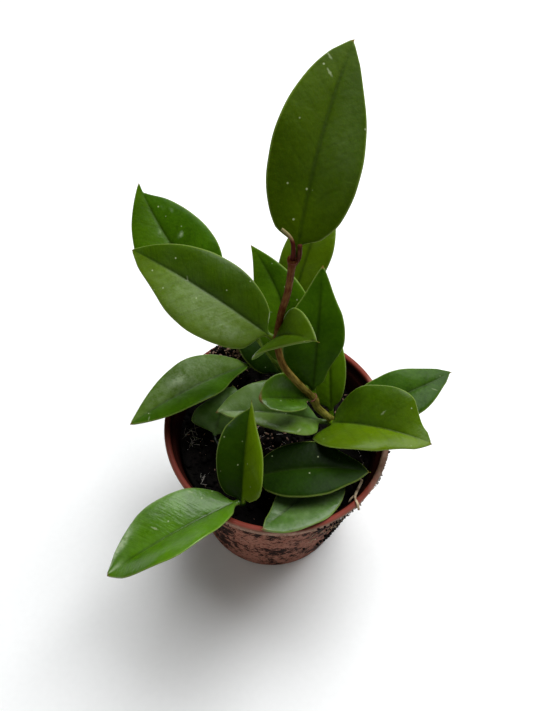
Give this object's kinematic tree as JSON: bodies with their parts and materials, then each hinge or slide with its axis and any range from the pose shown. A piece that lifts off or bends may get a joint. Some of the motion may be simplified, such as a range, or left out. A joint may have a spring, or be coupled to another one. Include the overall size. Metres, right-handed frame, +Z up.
{
  "type": "potted hoya plant",
  "caption": "Young hoya plant with thick pointed waxy leaves on thin twining stems, growing in a small round nursery pot filled with potting soil.",
  "frame": {"origin": "centre of the pot's flat foot, on the surface it stands on", "axes": "+Z up along the pot's axis, -Y towards the viewer, +X to the viewer's right"},
  "size_m": [0.1623, 0.1674, 0.2562],
  "materials": {
    "pot_plastic": "dusty moulded terracotta-coloured plastic",
    "potting_soil": "damp dark peat with bark fibres",
    "woody_stem": "brown bark with a thin silvery skin",
    "green_stem": "smooth green shoot",
    "red_stem": "smooth reddish-purple young stalk",
    "dry_tip": "dry and matte",
    "waxy_leaf": "thick waxy leaf with a satin gloss"
  },
  "bodies": {
    "root": {"pot": "pot_plastic", "soil": "potting_soil", "stem_main": "woody_stem", "stem_side": "green_stem", "stem_front": "woody_stem", "stem_back": "green_stem", "stem_right": "woody_stem", "petiole_stub": "red_stem", "withered_tip": "dry_tip", "leaf_main_top": "waxy_leaf", "leaf_main_left": "waxy_leaf", "leaf_main_small": "waxy_leaf", "leaf_main_back": "waxy_leaf", "leaf_main_round": "waxy_leaf", "leaf_main_right": "waxy_leaf", "leaf_main_low": "waxy_leaf", "leaf_foot_back": "waxy_leaf", "leaf_foot_right": "waxy_leaf", "leaf_side_right": "waxy_leaf", "leaf_side_left": "waxy_leaf", "leaf_front_up": "waxy_leaf", "leaf_front_out": "waxy_leaf", "leaf_front_right": "waxy_leaf", "leaf_front_left": "waxy_leaf", "leaf_back_top": "waxy_leaf", "leaf_back_left": "waxy_leaf", "leaf_back_under": "waxy_leaf", "leaf_short": "waxy_leaf"}
  },
  "joints": []
}
